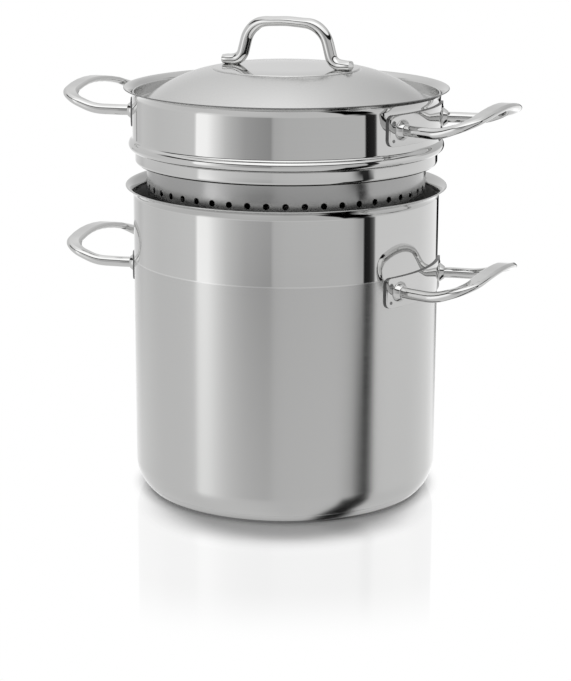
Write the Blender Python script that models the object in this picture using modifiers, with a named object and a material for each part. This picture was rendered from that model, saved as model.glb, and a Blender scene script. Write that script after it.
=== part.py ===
"""Pasta pot: a tall stock pot, a lift-out strainer insert with its own handles, and a domed lid.

Units are metres, +Z is up. The origin is the centre of the pot's base, on the surface that it stands on,
and the side handles point along +X and -X. The insert is modelled part way up, as the photograph shows it:
insert_raise is how far it stands above its seat on the pot's rim.
"""
import math

import bmesh
import bpy
from mathutils import Matrix, Vector

MM = 0.001
PI = math.pi

# Pot body, measured on its outer faces
wall_radius = 120.0 * MM
pot_height = 244.2 * MM
pot_sheet = 1.0 * MM
corner_radius = 27.6 * MM
corner_height = 22.6 * MM
rim_flare_radius = 7.5 * MM
pot_flare_angle = math.radians(75.0)

# Sandwich base: a steel cap pressed round an aluminium core, under the pot's floor
cap_sheet = 0.8 * MM
core_thickness = 4.4 * MM
core_side_room = 2.0 * MM
floor_bend = 2.4 * MM
cap_edge_round = 1.0 * MM

# Strainer insert: collar with a rolled bead that rests on the pot's rim, and a ledge inside the pot
collar_sheet = 0.9 * MM
collar_flare_angle = math.radians(80.0)
bead_radius = 4.3 * MM
bead_reach = 3.2 * MM
nest_clearance = 0.75 * MM
step_depth = 10.5 * MM
step_round = 3.0 * MM
step_width = 9.75 * MM
insert_raise = 30.4 * MM

# Perforated basket, its flange welded on the collar's ledge
basket_sheet = 0.8 * MM
basket_corner = 22.0 * MM
basket_floor_room = 13.5 * MM
ledge_width = 5.0 * MM
flange_room = 0.25 * MM
flange_bend = 0.6 * MM

# Round holes of the basket
hole_diameter = 4.9 * MM
hole_sides = 6
holes_round = 48
top_row_drop = 17.7 * MM
lower_row_pitch = 42.0 * MM
floor_ring_pitch = 34.0 * MM
floor_holes_per_ring = 6
punch_length = 5.0 * MM

# Lid, in heights above the underside of its edge
lid_sheet = 0.8 * MM
lid_seat_angle = math.radians(27.7)
lid_disc_radius = 56.5 * MM
lid_disc_height = 18.8 * MM
lid_disc_step = 0.6 * MM
dome_start_angle = math.radians(8.5)
dome_foot_rise = 0.9 * MM
gutter_width = 5.6 * MM
gutter_depth = 8.6 * MM
gutter_floor = 1.8 * MM
lid_wall_inset = 2.6 * MM

# Lid handle: a bent rod, flattened on top and on its two feet
lid_rod_diameter = 7.6 * MM
lid_grip_width = 9.6 * MM
lid_grip_thickness = 5.6 * MM
lid_foot_thickness = 6.6 * MM
lid_foot_inset = 2.0 * MM
lid_foot_length = 14.0 * MM
lid_leg_lean = 10.0 * MM
lid_handle_rise = 34.6 * MM
lid_handle_crown = 1.8 * MM
lid_foot_bend = 9.0 * MM
lid_shoulder_bend = 11.0 * MM
lid_crown_bend = 90.0 * MM

# Side handles: a bent rod, flattened along the grip
rod_diameter = 8.3 * MM
grip_width = 13.6 * MM
grip_thickness = 4.8 * MM
leg_spacing = 92.8 * MM
leg_spread = 4.2 * MM
handle_reach = 60.5 * MM
handle_rise = 20.6 * MM
leg_straight = 24.0 * MM
grip_bow = 7.7 * MM
grip_bow_rise = 11.6 * MM
root_bend = 12.0 * MM
rise_bend = 40.0 * MM
grip_bend = 19.0 * MM
bow_bend = 125.0 * MM
flatten_start = 20.0 * MM
flatten_full = 78.0 * MM
pot_handle_drop = 68.0 * MM

# Curved plate that carries each handle, with a boss under each end of the rod
plate_sheet = 1.2 * MM
plate_end = 10.3 * MM
plate_side = 4.5 * MM
plate_corner = 5.0 * MM
plate_above_bead = 6.5 * MM
plate_below_flare = 1.8 * MM
boss_height = 3.8 * MM
boss_margin = 1.15 * MM
boss_taper = 1.8 * MM

# Gap where pieces seat or are welded, and mesh fineness
seat_gap = 0.3 * MM
merge = 0.05 * MM
path_step = 12.0 * MM
bend_step = math.radians(24.0)
sharp_angle = math.radians(50.0)
segments = 48
rod_sides = 8
boss_sides = 12
flare_steps = 3
corner_steps = 3
bead_steps = 5
dome_steps = 3
fillet_steps = 2

# Pot and base
facet_angle = 2.0 * PI / segments
flare_centre = wall_radius + rim_flare_radius
pot_flare_face = rim_flare_radius + pot_sheet
pot_flare_z = pot_height - pot_flare_face * math.sin(pot_flare_angle)
corner_centre = wall_radius - corner_radius
core_z = cap_sheet + seat_gap
floor_under = core_z + core_thickness + seat_gap

# Handle plates, bosses and the roots of the rods
boss_top_radius = rod_diameter / 2.0 + boss_margin
boss_base_radius = boss_top_radius + boss_taper
plate_face = wall_radius + seat_gap + plate_sheet
boss_face = plate_face + boss_height
root_radius = boss_face + seat_gap
root_angle = math.asin((leg_spacing / 2.0 - leg_spread) / root_radius)
plate_half_width = root_angle * plate_face + plate_end
plate_half_height = boss_base_radius + plate_side
pot_handle_height = pot_height - pot_handle_drop

# Collar, in heights above the underside of its bead
mid_radius = wall_radius - pot_sheet - nest_clearance
bead_centre = wall_radius + bead_reach - bead_radius
insert_handle_height = 2.0 * bead_radius + plate_above_bead + plate_half_height
collar_flare_z = insert_handle_height + plate_half_height + plate_below_flare
collar_flare_face = rim_flare_radius + collar_sheet
ledge_z = collar_sheet + seat_gap - step_depth

# Where the bead seats on the pot's flared rim
bead_touch = pot_flare_face + bead_radius + seat_gap
bead_height = math.sqrt(bead_touch ** 2 - (flare_centre - bead_centre) ** 2)
seated_z = pot_flare_z + bead_height - bead_radius
insert_z = seated_z + insert_raise

# Basket
basket_radius = mid_radius - step_width
basket_depth = seated_z + ledge_z - floor_under - pot_sheet - basket_floor_room
ledge_radius = mid_radius - ledge_width
flange_radius = mid_radius - step_round - flange_room
lower_rows = int((basket_depth - basket_corner - top_row_drop - hole_diameter) / lower_row_pitch)
floor_rings = int((basket_radius - basket_corner - hole_diameter) / floor_ring_pitch)

# Where the lid's edge rests on the collar's flared rim
lid_touch = collar_flare_face + seat_gap
lid_edge_radius = flare_centre - lid_touch * math.cos(lid_seat_angle)
lid_z = collar_flare_z + lid_touch * math.sin(lid_seat_angle)
lid_foot_reach = lid_disc_radius - lid_foot_inset
lid_leg_foot = lid_foot_reach - lid_foot_length
lid_leg_top = lid_leg_foot - lid_leg_lean


def clear_scene():
    for item in list(bpy.data.objects):
        bpy.data.objects.remove(item, do_unlink=True)


def make_collection(name):
    group = bpy.data.collections.new(name)
    bpy.context.scene.collection.children.link(group)
    return group


clear_scene()
parts = make_collection("pasta_pot")
cutters = make_collection("cutters")


def make_material(name, colour, roughness, metallic=1.0):
    made = bpy.data.materials.new(name)
    made.use_nodes = True
    shader = made.node_tree.nodes["Principled BSDF"]
    shader.inputs["Base Color"].default_value = (*colour, 1.0)
    shader.inputs["Roughness"].default_value = roughness
    shader.inputs["Metallic"].default_value = metallic
    return made


satin_steel = make_material("satin_steel", (0.62, 0.62, 0.61), 0.32)
mirror_steel = make_material("mirror_steel", (0.70, 0.70, 0.70), 0.08)
handle_steel = make_material("handle_steel", (0.72, 0.72, 0.72), 0.12)
aluminium = make_material("aluminium", (0.80, 0.81, 0.82), 0.45)


def make_frame(name, height, parent=None):
    frame = bpy.data.objects.new(name, None)
    frame.location = (0.0, 0.0, height)
    frame.parent = parent
    parts.objects.link(frame)
    return frame


def add_object(name, mesh, material=None, parent=None, group=parts):
    made = bpy.data.objects.new(name, mesh)
    if material is not None:
        mesh.materials.append(material)
    made.parent = parent
    group.objects.link(made)
    return made


def add_cutter(name, mesh, parent):
    made = add_object(name, mesh, parent=parent, group=cutters)
    made.hide_render = True
    made.display_type = "WIRE"
    return made


def arc(centre, radius, start, end, steps):
    """Points of an arc from start to end, in radians, about a centre given as radius and height."""
    points = []
    for i in range(steps + 1):
        angle = start + (end - start) * i / steps
        points.append((centre[0] + radius * math.cos(angle), centre[1] + radius * math.sin(angle)))
    return points


def turned(name, outline, thickness, material, parent=None):
    """A sheet part spun from its outer outline, which runs down the outer side, with the sheet inside it."""
    mesh = bpy.data.meshes.new(name)
    points = [(radius, 0.0, height) for radius, height in outline]
    mesh.from_pydata(points, [(i, i + 1) for i in range(len(points) - 1)], [])
    made = add_object(name, mesh, material, parent)
    screw = made.modifiers.new("spin", "SCREW")
    screw.steps = segments
    screw.render_steps = segments
    screw.use_merge_vertices = True
    screw.merge_threshold = merge
    screw.use_smooth_shade = True
    weld = made.modifiers.new("pole", "WELD")
    weld.merge_threshold = merge
    add_sheet(made, thickness)
    return made


def add_sheet(made, thickness):
    sheet = made.modifiers.new("sheet", "SOLIDIFY")
    sheet.thickness = thickness
    sheet.offset = -1.0
    sheet.use_even_offset = True


def bend_reaches(corners, bends):
    """How far each bend reaches along its straights, drawn in where two bends would meet."""
    reaches = [0.0]
    for before, corner, after, bend in zip(corners, corners[1:], corners[2:], bends):
        reaches.append(bend * math.tan((corner - before).angle(after - corner) / 2.0))
    reaches.append(0.0)
    room = []
    for i, (start, end) in enumerate(zip(corners, corners[1:])):
        room.append(min(1.0, (end - start).length / (reaches[i] + reaches[i + 1])))
    room = [1.0] + room + [1.0]
    return [reach * min(room[i], room[i + 1]) for i, reach in enumerate(reaches)]


def rounded_path(corners, bends):
    """A path through corner points, each turned with its own bend radius, with no step past path_step."""
    reaches = bend_reaches(corners, bends)
    points = [corners[0]]
    for before, corner, after, reach in zip(corners, corners[1:], corners[2:], reaches[1:]):
        into = (corner - before).normalized()
        out = (after - corner).normalized()
        turn = into.angle(out)
        axis = into.cross(out).normalized()
        start = corner - into * reach
        middle = start + axis.cross(into) * (reach / math.tan(turn / 2.0))
        steps = max(2, math.ceil(turn / bend_step))
        for i in range(steps + 1):
            points.append(middle + Matrix.Rotation(turn * i / steps, 3, axis) @ (start - middle))
    points.append(corners[-1])
    return fill_gaps(points)


def fill_gaps(points):
    """Adds points along any stretch longer than path_step, and drops points that fall together."""
    filled = [points[0]]
    for end in points[1:]:
        start = filled[-1]
        run = (end - start).length
        if run < merge:
            continue
        pieces = math.ceil(run / path_step)
        for i in range(1, pieces + 1):
            filled.append(start.lerp(end, i / pieces))
    return filled


def smooth_step(value):
    value = min(max(value, 0.0), 1.0)
    return value * value * (3.0 - 2.0 * value)


def lofted_rod(name, path, size_at, material, parent, width_axis=None):
    """A closed rod along a path, whose width and thickness follow size_at(length from the nearer end, total).

    The width lies along width_axis or, where none is given, level and square to the path.
    """
    lengths = [0.0]
    for start, end in zip(path, path[1:]):
        lengths.append(lengths[-1] + (end - start).length)
    total = lengths[-1]
    bm = bmesh.new()
    rings = []
    for i, point in enumerate(path):
        before = path[max(i - 1, 0)]
        after = path[min(i + 1, len(path) - 1)]
        along = (after - before).normalized()
        across = width_axis or Vector((0.0, 0.0, 1.0)).cross(along).normalized()
        normal = along.cross(across).normalized()
        width, thickness = size_at(min(lengths[i], total - lengths[i]), total)
        ring = []
        for k in range(rod_sides):
            angle = 2.0 * PI * (k + 0.5) / rod_sides
            offset = across * (width / 2.0 * math.cos(angle)) + normal * (thickness / 2.0 * math.sin(angle))
            ring.append(bm.verts.new(point + offset))
        rings.append(ring)
    for lower, upper in zip(rings, rings[1:]):
        for k in range(rod_sides):
            n = (k + 1) % rod_sides
            bm.faces.new((lower[k], lower[n], upper[n], upper[k]))
    bm.faces.new(reversed(rings[0]))
    bm.faces.new(rings[-1])
    bmesh.ops.recalc_face_normals(bm, faces=bm.faces)
    mesh = bpy.data.meshes.new(name)
    bm.to_mesh(mesh)
    bm.free()
    mesh.shade_smooth()
    mesh.set_sharp_from_angle(angle=sharp_angle)
    return add_object(name, mesh, material, parent)


def corner_at(height):
    """Radius and angle of the pot's rounded corner at a height."""
    angle = -math.asin((corner_height - height) / corner_radius)
    return corner_centre + corner_radius * math.cos(angle), angle


def build_pot():
    bend_radius, bend_angle = corner_at(floor_under + floor_bend / 2.0)
    flare = arc((flare_centre, pot_flare_z), rim_flare_radius, PI - pot_flare_angle, PI, flare_steps)
    corner = arc((corner_centre, corner_height), corner_radius, 0.0, bend_angle, corner_steps)
    floor = [(bend_radius - floor_bend, floor_under), (0.0, floor_under)]
    turned("pot_shell", flare + corner + floor, pot_sheet, satin_steel)


def build_base():
    rim_angle = corner_at(floor_under - seat_gap)[1]
    edge_radius, edge_angle = corner_at(cap_edge_round)
    flank = arc((corner_centre, corner_height), corner_radius, rim_angle, edge_angle, fillet_steps)
    bottom = [(edge_radius - cap_edge_round, 0.0), (0.0, 0.0)]
    turned("base_cap", flank + bottom, cap_sheet, satin_steel)
    bm = bmesh.new()
    bmesh.ops.create_cone(
        bm, cap_ends=True, segments=segments,
        radius1=corner_at(core_z)[0] - core_side_room,
        radius2=corner_at(core_z + core_thickness)[0] - core_side_room,
        depth=core_thickness)
    mesh = bpy.data.meshes.new("base_core")
    bm.to_mesh(mesh)
    bm.free()
    core = add_object("base_core", mesh, aluminium)
    core.location.z = core_z + core_thickness / 2.0


def plate_outline():
    """Corner points of the flat plate, with rounded corners, centred on the origin."""
    points = []
    for sign_x, sign_z, start in ((1, 1, 0.0), (-1, 1, PI / 2.0), (-1, -1, PI), (1, -1, 1.5 * PI)):
        middle = (sign_x * (plate_half_width - plate_corner), sign_z * (plate_half_height - plate_corner))
        points += arc(middle, plate_corner, start, start + PI / 2.0, fillet_steps)
    return points


def on_facets(angle, radius):
    """Distance from the axis to a faceted wall of the given corner radius, at an angle."""
    from_middle = (angle / facet_angle) % 1.0 - 0.5
    return radius * math.cos(facet_angle / 2.0) / math.cos(from_middle * facet_angle)


def build_plate_mesh():
    """The handle plate, bent to the wall: a flat sheet creased at each facet of the wall, then wrapped."""
    bm = bmesh.new()
    bm.faces.new([bm.verts.new((x, 0.0, z)) for x, z in plate_outline()])
    creases = int(plate_half_width / plate_face / facet_angle)
    for k in range(-creases, creases + 1):
        bmesh.ops.bisect_plane(
            bm, geom=bm.verts[:] + bm.edges[:] + bm.faces[:],
            plane_co=(k * facet_angle * plate_face, 0.0, 0.0), plane_no=(1.0, 0.0, 0.0))
    for vert in bm.verts:
        angle = vert.co.x / plate_face
        vert.co = Vector((on_facets(angle, plate_face), 0.0, vert.co.z))
        vert.co.rotate(Matrix.Rotation(angle, 3, "Z"))
    bmesh.ops.recalc_face_normals(bm, faces=bm.faces)
    if bm.faces[:][0].normal.x < 0.0:
        bmesh.ops.reverse_faces(bm, faces=bm.faces)
    mesh = bpy.data.meshes.new("handle_plate")
    bm.to_mesh(mesh)
    bm.free()
    return mesh


def build_boss_mesh():
    """Two round bosses that stand square to the plate, where the rod's ends are welded."""
    length = boss_height + plate_sheet / 2.0
    bm = bmesh.new()
    for sign in (-1.0, 1.0):
        place = (Matrix.Rotation(sign * root_angle, 4, "Z")
                 @ Matrix.Translation((boss_face - length / 2.0, 0.0, 0.0))
                 @ Matrix.Rotation(PI / 2.0, 4, "Y"))
        bmesh.ops.create_cone(bm, cap_ends=True, segments=boss_sides, radius1=boss_base_radius,
                              radius2=boss_top_radius, depth=length, matrix=place)
    mesh = bpy.data.meshes.new("bosses")
    bm.to_mesh(mesh)
    bm.free()
    return mesh


def rod_size(length, total):
    """Width and thickness of a side handle's rod: round at its roots and flattened along the grip."""
    share = smooth_step((length - flatten_start) / (flatten_full - flatten_start))
    width = rod_diameter + (grip_width - rod_diameter) * share
    thickness = rod_diameter + (grip_thickness - rod_diameter) * share
    return width, thickness


def side_handle_path():
    """Centre line of the loop, on the +X side, with its roots square to the bosses."""
    half = leg_spacing / 2.0
    tip = wall_radius + handle_reach
    one_side = [
        Vector((root_radius * math.cos(root_angle), root_radius * math.sin(root_angle), 0.0)),
        Vector((half / math.tan(root_angle), half, 0.0)),
        Vector((wall_radius + leg_straight, half, 0.0)),
        Vector((tip - grip_bow, half, handle_rise - grip_bow_rise)),
    ]
    middle = Vector((tip, 0.0, handle_rise))
    other_side = [Vector((point.x, -point.y, point.z)) for point in reversed(one_side)]
    bends = [root_bend, rise_bend, grip_bend]
    return rounded_path(one_side + [middle] + other_side, bends + [bow_bend] + bends[::-1])


def build_side_handles(owner, height, parent=None):
    """One plate and one rod handle on each side of the pot or of the insert."""
    for side, turn in (("right", 0.0), ("left", PI)):
        arm = make_frame(owner + "_handle_frame_" + side, height, parent)
        arm.rotation_euler = (0.0, 0.0, turn)
        plate = add_object(owner + "_handle_plate_" + side, build_plate_mesh(), handle_steel, arm)
        add_sheet(plate, plate_sheet)
        join = plate.modifiers.new("bosses", "BOOLEAN")
        join.operation = "UNION"
        join.object = add_cutter(owner + "_bosses_" + side, build_boss_mesh(), arm)
        lofted_rod(owner + "_handle_" + side, side_handle_path(), rod_size, handle_steel, arm)


def build_collar(insert):
    flare = arc((flare_centre, collar_flare_z), rim_flare_radius, PI - collar_flare_angle, PI, flare_steps)
    bead_top = math.acos((wall_radius - bead_centre) / bead_radius)
    bead_foot = -math.acos((mid_radius - bead_centre) / bead_radius)
    bead = arc((bead_centre, bead_radius), bead_radius, bead_top, bead_foot, bead_steps)
    step = arc((mid_radius - step_round, step_round - step_depth), step_round, 0.0, -PI / 2.0, fillet_steps)
    ledge = [(ledge_radius, -step_depth)]
    turned("insert_collar", flare + bead + step + ledge, collar_sheet, mirror_steel, insert)


def add_pin(bm, place):
    bmesh.ops.create_cone(bm, cap_ends=True, segments=hole_sides, radius1=hole_diameter / 2.0,
                          radius2=hole_diameter / 2.0, depth=punch_length, matrix=place)


def build_hole_pins():
    """Pins through the basket's wall and floor, where its round holes are punched.

    The top row has all its holes. The rows below it have every second one, each row shifted against the next.
    """
    hole_angle = 2.0 * PI / holes_round
    wall_middle = basket_radius * math.cos(facet_angle / 2.0) - basket_sheet / 2.0
    floor_middle = ledge_z - basket_depth + basket_sheet / 2.0
    bm = bmesh.new()
    for row in range(lower_rows + 1):
        height = ledge_z - top_row_drop - row * lower_row_pitch
        spacing = 1 if row == 0 else 2
        for i in range(row % 2, holes_round, spacing):
            place = (Matrix.Rotation((i + 0.5) * hole_angle, 4, "Z")
                     @ Matrix.Translation((wall_middle, 0.0, height))
                     @ Matrix.Rotation(PI / 2.0, 4, "Y"))
            add_pin(bm, place)
    for ring in range(1, floor_rings + 1):
        for i in range(floor_holes_per_ring):
            place = (Matrix.Rotation(2.0 * PI * (i + ring / 2.0) / floor_holes_per_ring, 4, "Z")
                     @ Matrix.Translation((ring * floor_ring_pitch, 0.0, floor_middle)))
            add_pin(bm, place)
    mesh = bpy.data.meshes.new("hole_pins")
    bm.to_mesh(mesh)
    bm.free()
    return mesh


def build_basket(insert):
    floor_z = ledge_z - basket_depth
    flange = [
        (flange_radius, ledge_z),
        (basket_radius + flange_bend, ledge_z),
        (basket_radius, ledge_z - flange_bend),
    ]
    corner_middle = (basket_radius - basket_corner, floor_z + basket_corner)
    corner = arc(corner_middle, basket_corner, 0.0, -PI / 2.0, fillet_steps)
    basket = turned("strainer_basket", flange + corner + [(0.0, floor_z)], basket_sheet, satin_steel, insert)
    punch = basket.modifiers.new("holes", "BOOLEAN")
    punch.operation = "DIFFERENCE"
    punch.object = add_cutter("hole_pins", build_hole_pins(), insert)


def dome_outline(start, top, end, foot):
    """The dome's arc from (start, top) to (end, foot), which leaves the disc at dome_start_angle."""
    end_angle = 2.0 * math.atan((top - foot) / (end - start)) - dome_start_angle
    radius = (end - start) / (math.sin(end_angle) - math.sin(dome_start_angle))
    centre = (start - radius * math.sin(dome_start_angle), top - radius * math.cos(dome_start_angle))
    return arc(centre, radius, PI / 2.0 - dome_start_angle, PI / 2.0 - end_angle, dome_steps)


def build_lid(lid):
    gutter_radius = lid_edge_radius - gutter_width
    dome = dome_outline(lid_disc_radius + lid_disc_step, lid_disc_height - lid_disc_step,
                        gutter_radius - gutter_floor, dome_foot_rise - gutter_depth)
    disc = [(0.0, lid_disc_height), (lid_disc_radius, lid_disc_height)]
    gutter = [
        (gutter_radius, -gutter_depth),
        (lid_edge_radius - lid_wall_inset, -gutter_depth / 2.0),
        (lid_edge_radius - lid_wall_inset / 2.0, 0.0),
    ]
    edge = [(lid_edge_radius, lid_sheet)]
    turned("lid_shell", disc + dome + gutter + edge, lid_sheet, satin_steel, lid)


def lid_rod_size(length, total):
    """Width and thickness of the lid handle's rod: flattened on its feet and along the grip."""
    foot = 1.0 - smooth_step((length - lid_foot_length + lid_foot_bend) / lid_foot_bend)
    grip = smooth_step((length - total / 2.0 + lid_leg_top) / lid_shoulder_bend)
    width = lid_rod_diameter + (lid_grip_width - lid_rod_diameter) * max(foot, grip)
    thickness = (lid_rod_diameter + (lid_grip_thickness - lid_rod_diameter) * grip
                 + (lid_foot_thickness - lid_rod_diameter) * foot)
    return width, thickness


def build_lid_handle(lid):
    """The bridge handle: two feet flat on the disc, legs that lean in, and a slightly arched bar."""
    foot_z = lid_disc_height + seat_gap + lid_foot_thickness / 2.0 * math.cos(PI / rod_sides)
    bar_z = lid_disc_height + lid_handle_rise
    one_side = [
        Vector((lid_foot_reach, 0.0, foot_z)),
        Vector((lid_leg_foot, 0.0, foot_z)),
        Vector((lid_leg_top, 0.0, bar_z - lid_handle_crown)),
    ]
    other_side = [Vector((-point.x, 0.0, point.z)) for point in reversed(one_side)]
    path = rounded_path(
        one_side + [Vector((0.0, 0.0, bar_z))] + other_side,
        [lid_foot_bend, lid_shoulder_bend, lid_crown_bend, lid_shoulder_bend, lid_foot_bend])
    lofted_rod("lid_handle", path, lid_rod_size, handle_steel, lid, Vector((0.0, 1.0, 0.0)))


def build_all():
    insert = make_frame("insert_frame", insert_z)
    lid = make_frame("lid_frame", lid_z, insert)
    build_pot()
    build_base()
    build_side_handles("pot", pot_handle_height)
    build_collar(insert)
    build_basket(insert)
    build_side_handles("insert", insert_handle_height, insert)
    build_lid(lid)
    build_lid_handle(lid)


build_all()
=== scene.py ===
"""Pasta pot in brushed and polished steel, with its strainer insert lifted and its domed lid on.

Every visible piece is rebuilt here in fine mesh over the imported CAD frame, in metres, +Z up. The origin is
the centre of the pot's base and the side handles point along +X and -X.
"""

import math

import bmesh
import bpy
from mathutils import Matrix, Vector
from mathutils.geometry import delaunay_2d_cdt


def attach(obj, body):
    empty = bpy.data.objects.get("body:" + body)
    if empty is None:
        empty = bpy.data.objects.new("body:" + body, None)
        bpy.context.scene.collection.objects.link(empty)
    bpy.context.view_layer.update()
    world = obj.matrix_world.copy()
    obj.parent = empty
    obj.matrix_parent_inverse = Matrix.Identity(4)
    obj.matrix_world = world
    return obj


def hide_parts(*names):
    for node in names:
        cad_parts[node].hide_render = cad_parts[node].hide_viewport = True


MM = 0.001
PI = math.pi

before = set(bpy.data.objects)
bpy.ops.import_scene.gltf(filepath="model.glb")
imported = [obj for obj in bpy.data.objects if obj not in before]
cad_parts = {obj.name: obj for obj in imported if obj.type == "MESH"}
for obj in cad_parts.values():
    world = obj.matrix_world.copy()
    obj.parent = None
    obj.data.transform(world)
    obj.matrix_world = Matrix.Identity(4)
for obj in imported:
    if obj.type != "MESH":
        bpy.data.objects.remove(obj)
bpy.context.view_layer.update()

# Pot body, on its outer faces
wall_radius = 120.0 * MM
pot_height = 244.2 * MM
pot_sheet = 1.0 * MM
corner_radius = 27.6 * MM
corner_height = 22.6 * MM
rim_flare_radius = 7.5 * MM
pot_flare_angle = math.radians(75.0)
polish_line = 186.6 * MM
polish_line_width = 0.5 * MM
rim_polish_rise = 1.0 * MM

# Sandwich base: a thin cover up the pot's corner, and a groove low on its edge, with painted shade darkening
# the cap toward the groove
cap_sheet = 0.8 * MM
floor_under = 5.8 * MM
floor_bend = 2.4 * MM
cap_top = 7.2 * MM
cap_cover = 0.06 * MM
cap_edge_round = 0.5 * MM
groove_top = 1.9 * MM
groove_bottom = 1.0 * MM
groove_depth = 0.6 * MM
groove_shade_rise = 0.05 * MM
# Painted shade: the cap's tone at its groove, as a share of its own, for the contact shadow it mirrors
painted_foot_shade = 0.7

# Strainer insert: its collar, and heights in its own frame from the underside of the bead
insert_z = 271.97 * MM
collar_sheet = 0.9 * MM
collar_flare_z = 40.1 * MM
collar_flare_angle = math.radians(80.0)
bead_radius = 4.3 * MM
bead_centre = 118.9 * MM
bead_fillet = 3.0 * MM
neck_radius = 118.25 * MM
neck_fillet = 0.7 * MM
step_depth = 10.5 * MM
step_round = 3.0 * MM
ledge_radius = 113.25 * MM
lip_edge_share = 0.1

# Perforated basket
basket_sheet = 0.8 * MM
basket_radius = 108.5 * MM
basket_depth = 211.97 * MM
basket_corner = 22.0 * MM
flange_z = -9.3 * MM
flange_radius = 115.0 * MM
flange_bend = 1.2 * MM
hole_radius = 2.45 * MM
holes_round = 48
first_row_drop = 17.7 * MM
row_pitch = 14.0 * MM
row_count = 12
ring_pitch = 17.0 * MM
ring_count = 4
holes_per_ring = 6
inside_hole = 0.95

# Lid, in heights above the underside of its edge
lid_z = 44.14 * MM
lid_sheet = 0.8 * MM
lid_disc_radius = 56.5 * MM
lid_disc_height = 18.8 * MM
lid_disc_step = 0.6 * MM
dome_start_angle = math.radians(8.5)
dome_foot_rise = 0.9 * MM
lid_edge_radius = 119.8 * MM
gutter_width = 5.6 * MM
gutter_depth = 8.6 * MM
gutter_floor = 1.8 * MM
lid_wall_inset = 1.6 * MM
lid_edge_bead = 0.7 * MM
gutter_round = 1.4 * MM
disc_groove = 0.15 * MM
disc_step_end = 0.2

# Lid handle
lid_rod_diameter = 9.3 * MM
lid_grip_width = 10.4 * MM
lid_grip_thickness = 7.2 * MM
lid_foot_thickness = 7.4 * MM
lid_foot_reach = 57.0 * MM
lid_leg_foot = 39.6 * MM
lid_leg_top = 31.4 * MM
lid_foot_length = 14.0 * MM
lid_handle_rise = 35.4 * MM
lid_handle_crown = 1.8 * MM
lid_foot_bend = 9.0 * MM
lid_shoulder_bend = 20.0 * MM
lid_crown_bend = 90.0 * MM
lid_end_round = 3.2 * MM

# Side handles
rod_diameter = 8.3 * MM
grip_width = 13.6 * MM
grip_thickness = 4.8 * MM
leg_half = 46.4 * MM
leg_spread = 6.4 * MM
handle_reach = 60.5 * MM
handle_rise = 20.6 * MM
leg_straight = 27.0 * MM
grip_bow = 7.7 * MM
grip_bow_rise = 11.6 * MM
root_bend = 28.0 * MM
root_straight = 6.5 * MM
rise_bend = 40.0 * MM
grip_bend = 19.0 * MM
bow_bend = 125.0 * MM
flatten_start = 20.0 * MM
flatten_full = 78.0 * MM
grip_crown = 0.3
lid_grip_crown = 0.12
root_radius = 125.6 * MM
root_sink = 0.6 * MM
root_angle = math.asin((leg_half - leg_spread) / root_radius)
pot_handle_height = 176.2 * MM
insert_handle_height = 26.7 * MM

# Handle plates, bosses and spot welds
plate_face = 121.8 * MM
plate_back = 119.1 * MM
plate_half_width = 54.0 * MM
plate_half_height = 11.6 * MM
plate_corner = 5.0 * MM
plate_edge_round = 0.2 * MM
plate_strip = 2.0 * MM
plate_edge_lean = 0.5
boss_height = 4.1 * MM
boss_base_radius = 7.1 * MM
boss_top_radius = 5.3 * MM
boss_foot_fillet = 1.1 * MM
boss_shoulder = 0.8 * MM
boss_shoulder_start = 0.3
boss_sink = 0.2 * MM
large_weld = 2.1 * MM
small_weld = 1.3 * MM
weld_rise = 0.45 * MM
weld_end_inset = 5.2 * MM
large_weld_height = 5.6 * MM
small_weld_height = -7.4 * MM

# A spot weld's section, in shares of its radius and of its rise: a dimple inside a raised ring
weld_section = ((0.0, 0.12), (0.35, 0.2), (0.55, 0.5), (0.68, 0.9), (0.78, 1.0), (0.88, 0.85), (1.0, 0.0))

# Where the points of a pressed rod's section lie, in shares of its flat top and of its rounded side
section_top = (-1.0, -0.9, -0.45, 0.0, 0.45, 0.9, 1.0)
section_side = (0.05, 0.14, 0.28, 0.42, 0.58, 0.72, 0.86, 0.95)

# Mesh fineness
segments = 192
boss_segments = 48
weld_segments = 20
hole_segments = 16
first_corner = -0.75 * PI
merge = 0.005 * MM
shortest_step = 0.1 * MM
rod_step = 2.5 * MM
bend_step = math.radians(5.0)
least_cut = math.radians(3.0)
least_end = 0.02
least_bend_steps = 4
steepest_mitre = 0.5

# Edges sharper than these angles stay crisp
sharp_edge = math.radians(50.0)
sharp_boss_edge = math.radians(60.0)
sharp_basket_edge = math.radians(40.0)

# Place of a piece's second material
second_material = 1


def arc(centre, radius, start, end, steps):
    """Points of an arc from start to end, in radians, about a centre given as radius and height."""
    points = []
    for i in range(steps + 1):
        angle = start + (end - start) * i / steps
        points.append((centre[0] + radius * math.cos(angle), centre[1] + radius * math.sin(angle)))
    return points


def without_repeats(points):
    """The points without those that lie on the point before them."""
    kept = [points[0]]
    for point in points[1:]:
        if math.dist(point, kept[-1]) > merge:
            kept.append(point)
    return kept


def offset_line(points, distance):
    """The line moved sideways by a distance, to the right of its direction, with mitred corners."""
    moved = []
    for i, point in enumerate(points):
        before = points[max(i - 1, 0)]
        after = points[min(i + 1, len(points) - 1)]
        normals = []
        for start, end in ((before, point), (point, after)):
            run = math.dist(start, end)
            if run > merge:
                normals.append(Vector(((end[1] - start[1]) / run, (start[0] - end[0]) / run)))
        normal = sum(normals, Vector((0.0, 0.0))).normalized()
        reach = distance / max(normal.dot(normals[0]), steepest_mitre)
        moved.append((max(point[0] + normal.x * reach, 0.0), point[1] + normal.y * reach))
    return moved


def sheet_profile(outline, thickness, rounded_end=False):
    """A closed section of sheet from its outer outline, which runs down the outer side.

    The rim is rounded. The far end is rounded too, or it lies on the axis.
    """
    outline = without_repeats(outline)
    inner = offset_line(outline, thickness)
    profile = end_cap(inner[0], outline[0], thickness)[1:] + outline[1:]
    if rounded_end:
        profile += end_cap(outline[-1], inner[-1], thickness)[1:]
        return profile + inner[-2:0:-1]
    return profile + inner[:0:-1]


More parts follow.
